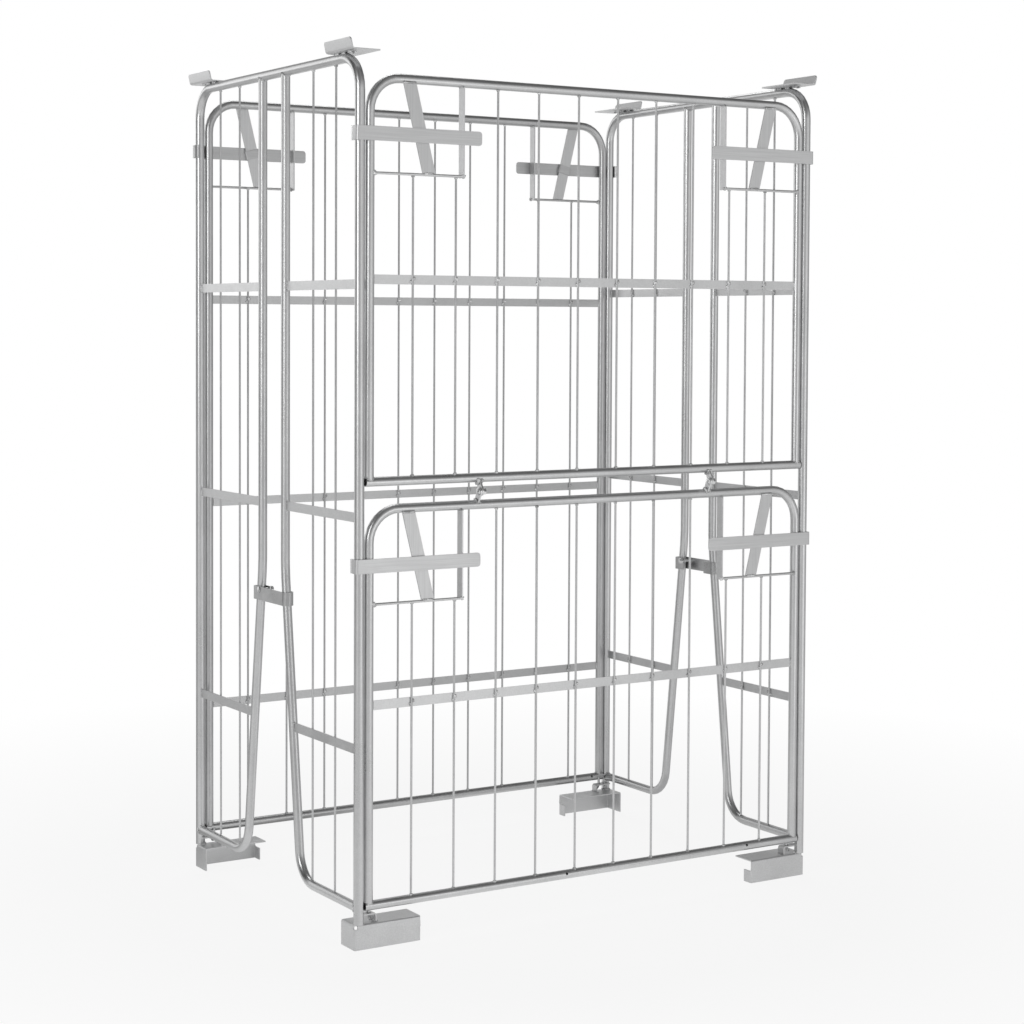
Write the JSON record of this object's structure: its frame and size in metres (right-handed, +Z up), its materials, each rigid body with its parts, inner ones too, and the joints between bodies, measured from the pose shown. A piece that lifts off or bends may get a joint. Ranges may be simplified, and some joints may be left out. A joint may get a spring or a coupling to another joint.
{
  "type": "pallet collar",
  "caption": "Zinced wire-mesh collar for a 1200 x 800 mm pallet: end frames, a rear gate and a folding front gate, held by gravity hook latches",
  "frame": {"origin": "middle of the footprint, level with the lower edges of the foot skirts", "axes": "+Z up, X along the long side of the pallet, -Y towards the front gate"},
  "size_m": [1.238, 0.8343, 1.8869],
  "materials": {
    "zinced_tube": "dull zinc coating on bent steel tube",
    "bright_mesh": "brighter zinc coating on wire and flat bar",
    "dipped_sheet": "hot-dipped zinc on folded sheet and strap",
    "zinc_bolts": "zinc-plated bolts and nuts"
  },
  "bodies": {
    "end_frames": {"left_clamp_bolt": "zinc_bolts", "left_end_hoop": "zinced_tube", "left_front_end_mesh": "bright_mesh", "left_front_foot": "dipped_sheet", "left_front_leg": "zinced_tube", "left_front_stacking_tab": "dipped_sheet", "left_front_stirrup": "dipped_sheet", "left_leg_clamp": "dipped_sheet", "left_rear_end_mesh": "bright_mesh", "left_rear_foot": "dipped_sheet", "left_rear_leg": "zinced_tube", "left_rear_stacking_tab": "dipped_sheet", "left_rear_stirrup": "dipped_sheet", "right_clamp_bolt": "zinc_bolts", "right_end_hoop": "zinced_tube", "right_front_end_mesh": "bright_mesh", "right_front_foot": "dipped_sheet", "right_front_leg": "zinced_tube", "right_front_stacking_tab": "dipped_sheet", "right_front_stirrup": "dipped_sheet", "right_leg_clamp": "dipped_sheet", "right_rear_end_mesh": "bright_mesh", "right_rear_foot": "dipped_sheet", "right_rear_leg": "zinced_tube", "right_rear_stacking_tab": "dipped_sheet", "right_rear_stirrup": "dipped_sheet"},
    "rear_gate": {"rear_gate_bottom_rail": "zinced_tube", "rear_gate_hoop": "zinced_tube", "rear_gate_mesh": "bright_mesh", "rear_left_latch_guide": "dipped_sheet", "rear_left_latch_window": "bright_mesh", "rear_right_latch_guide": "dipped_sheet", "rear_right_latch_window": "bright_mesh"},
    "lower_gate": {"left_hinge_bolt": "zinc_bolts", "lower_gate_bottom_rail": "zinced_tube", "lower_gate_hoop": "zinced_tube", "lower_gate_mesh": "bright_mesh", "lower_left_hinge_lug": "dipped_sheet", "lower_left_latch_guide": "dipped_sheet", "lower_left_latch_window": "bright_mesh", "lower_right_hinge_lug": "dipped_sheet", "lower_right_latch_guide": "dipped_sheet", "lower_right_latch_window": "bright_mesh", "right_hinge_bolt": "zinc_bolts"},
    "upper_gate": {"upper_gate_bottom_rail": "zinced_tube", "upper_gate_hoop": "zinced_tube", "upper_gate_mesh": "bright_mesh", "upper_left_hinge_lug": "dipped_sheet", "upper_left_latch_guide": "dipped_sheet", "upper_left_latch_window": "bright_mesh", "upper_right_hinge_lug": "dipped_sheet", "upper_right_latch_guide": "dipped_sheet", "upper_right_latch_window": "bright_mesh"},
    "rear_left_hook": {"rear_left_latch": "dipped_sheet"},
    "rear_right_hook": {"rear_right_latch": "dipped_sheet"},
    "lower_left_hook": {"lower_left_latch": "dipped_sheet"},
    "lower_right_hook": {"lower_right_latch": "dipped_sheet"},
    "upper_left_hook": {"upper_left_latch": "dipped_sheet"},
    "upper_right_hook": {"upper_right_latch": "dipped_sheet"}
  },
  "joints": [
    {"name": "rear_gate_tilt", "type": "hinge", "parent": "end_frames", "child": "rear_gate", "pos_m": [0, 0.3875, 0.0705], "axis": [-1, 0, 0], "range_deg": [0, 45]},
    {"name": "lower_gate_tilt", "type": "hinge", "parent": "end_frames", "child": "lower_gate", "pos_m": [0, -0.3875, 0.0705], "axis": [1, 0, 0], "range_deg": [0, 45]},
    {"name": "upper_gate_fold", "type": "hinge", "parent": "lower_gate", "child": "upper_gate", "pos_m": [0, -0.413, 0.9459], "axis": [1, 0, 0], "range_deg": [0, 180]},
    {"name": "rear_left_latch_lift", "type": "slide", "parent": "rear_gate", "child": "rear_left_hook", "axis": [-0.2425, 0, 0.9701], "range_m": [0, 0.085]},
    {"name": "rear_right_latch_lift", "type": "slide", "parent": "rear_gate", "child": "rear_right_hook", "axis": [0.2425, 0, 0.9701], "range_m": [0, 0.085]},
    {"name": "lower_left_latch_lift", "type": "slide", "parent": "lower_gate", "child": "lower_left_hook", "axis": [-0.2425, 0, 0.9701], "range_m": [0, 0.085]},
    {"name": "lower_right_latch_lift", "type": "slide", "parent": "lower_gate", "child": "lower_right_hook", "axis": [0.2425, 0, 0.9701], "range_m": [0, 0.085]},
    {"name": "upper_left_latch_lift", "type": "slide", "parent": "upper_gate", "child": "upper_left_hook", "axis": [-0.2425, 0, 0.9701], "range_m": [0, 0.085]},
    {"name": "upper_right_latch_lift", "type": "slide", "parent": "upper_gate", "child": "upper_right_hook", "axis": [0.2425, 0, 0.9701], "range_m": [0, 0.085]}
  ]
}
